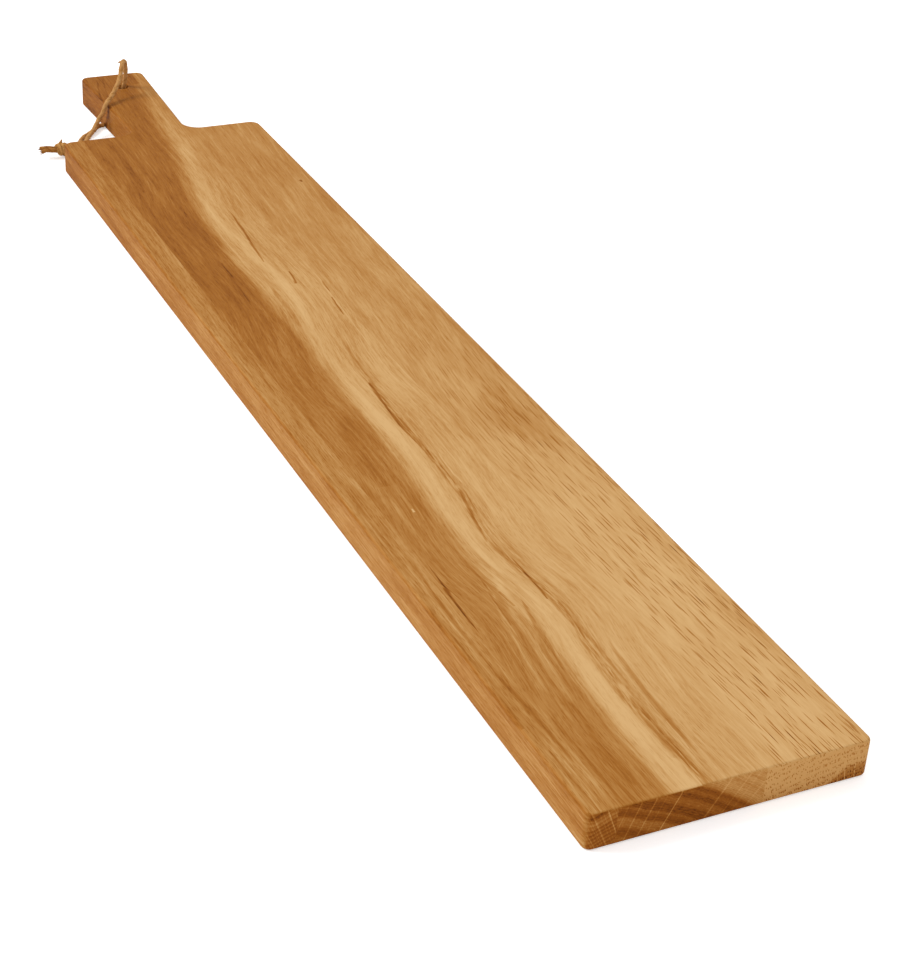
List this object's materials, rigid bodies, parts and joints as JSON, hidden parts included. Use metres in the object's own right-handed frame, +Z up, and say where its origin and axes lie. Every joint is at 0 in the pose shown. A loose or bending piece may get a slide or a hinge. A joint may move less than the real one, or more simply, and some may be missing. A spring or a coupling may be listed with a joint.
{
  "type": "serving board",
  "caption": "Long narrow wooden serving board with rounded corners, glued up from staves, with a flared handle and a knotted hanging cord through the hole near the handle's end.",
  "frame": {"origin": "on the underside, in the middle of the board's width and of its whole length with the handle", "axes": "+Y along the board towards the handle, +X across it to the right as seen from the near end, +Z up out of the serving face"},
  "size_m": [0.1549, 0.9, 0.0441],
  "materials": {
    "oak_left": "oiled, satin",
    "oak_middle": "oiled, satin",
    "oak_right": "oiled, satin",
    "cord": "twisted natural fibre"
  },
  "bodies": {
    "root": {"stave_left": "oak_left", "stave_middle": "oak_middle", "stave_right": "oak_right", "cord_upper": "cord", "cord_lower": "cord", "cord_knot": "cord", "cord_tail_left": "cord", "cord_tail_right": "cord"}
  },
  "joints": []
}
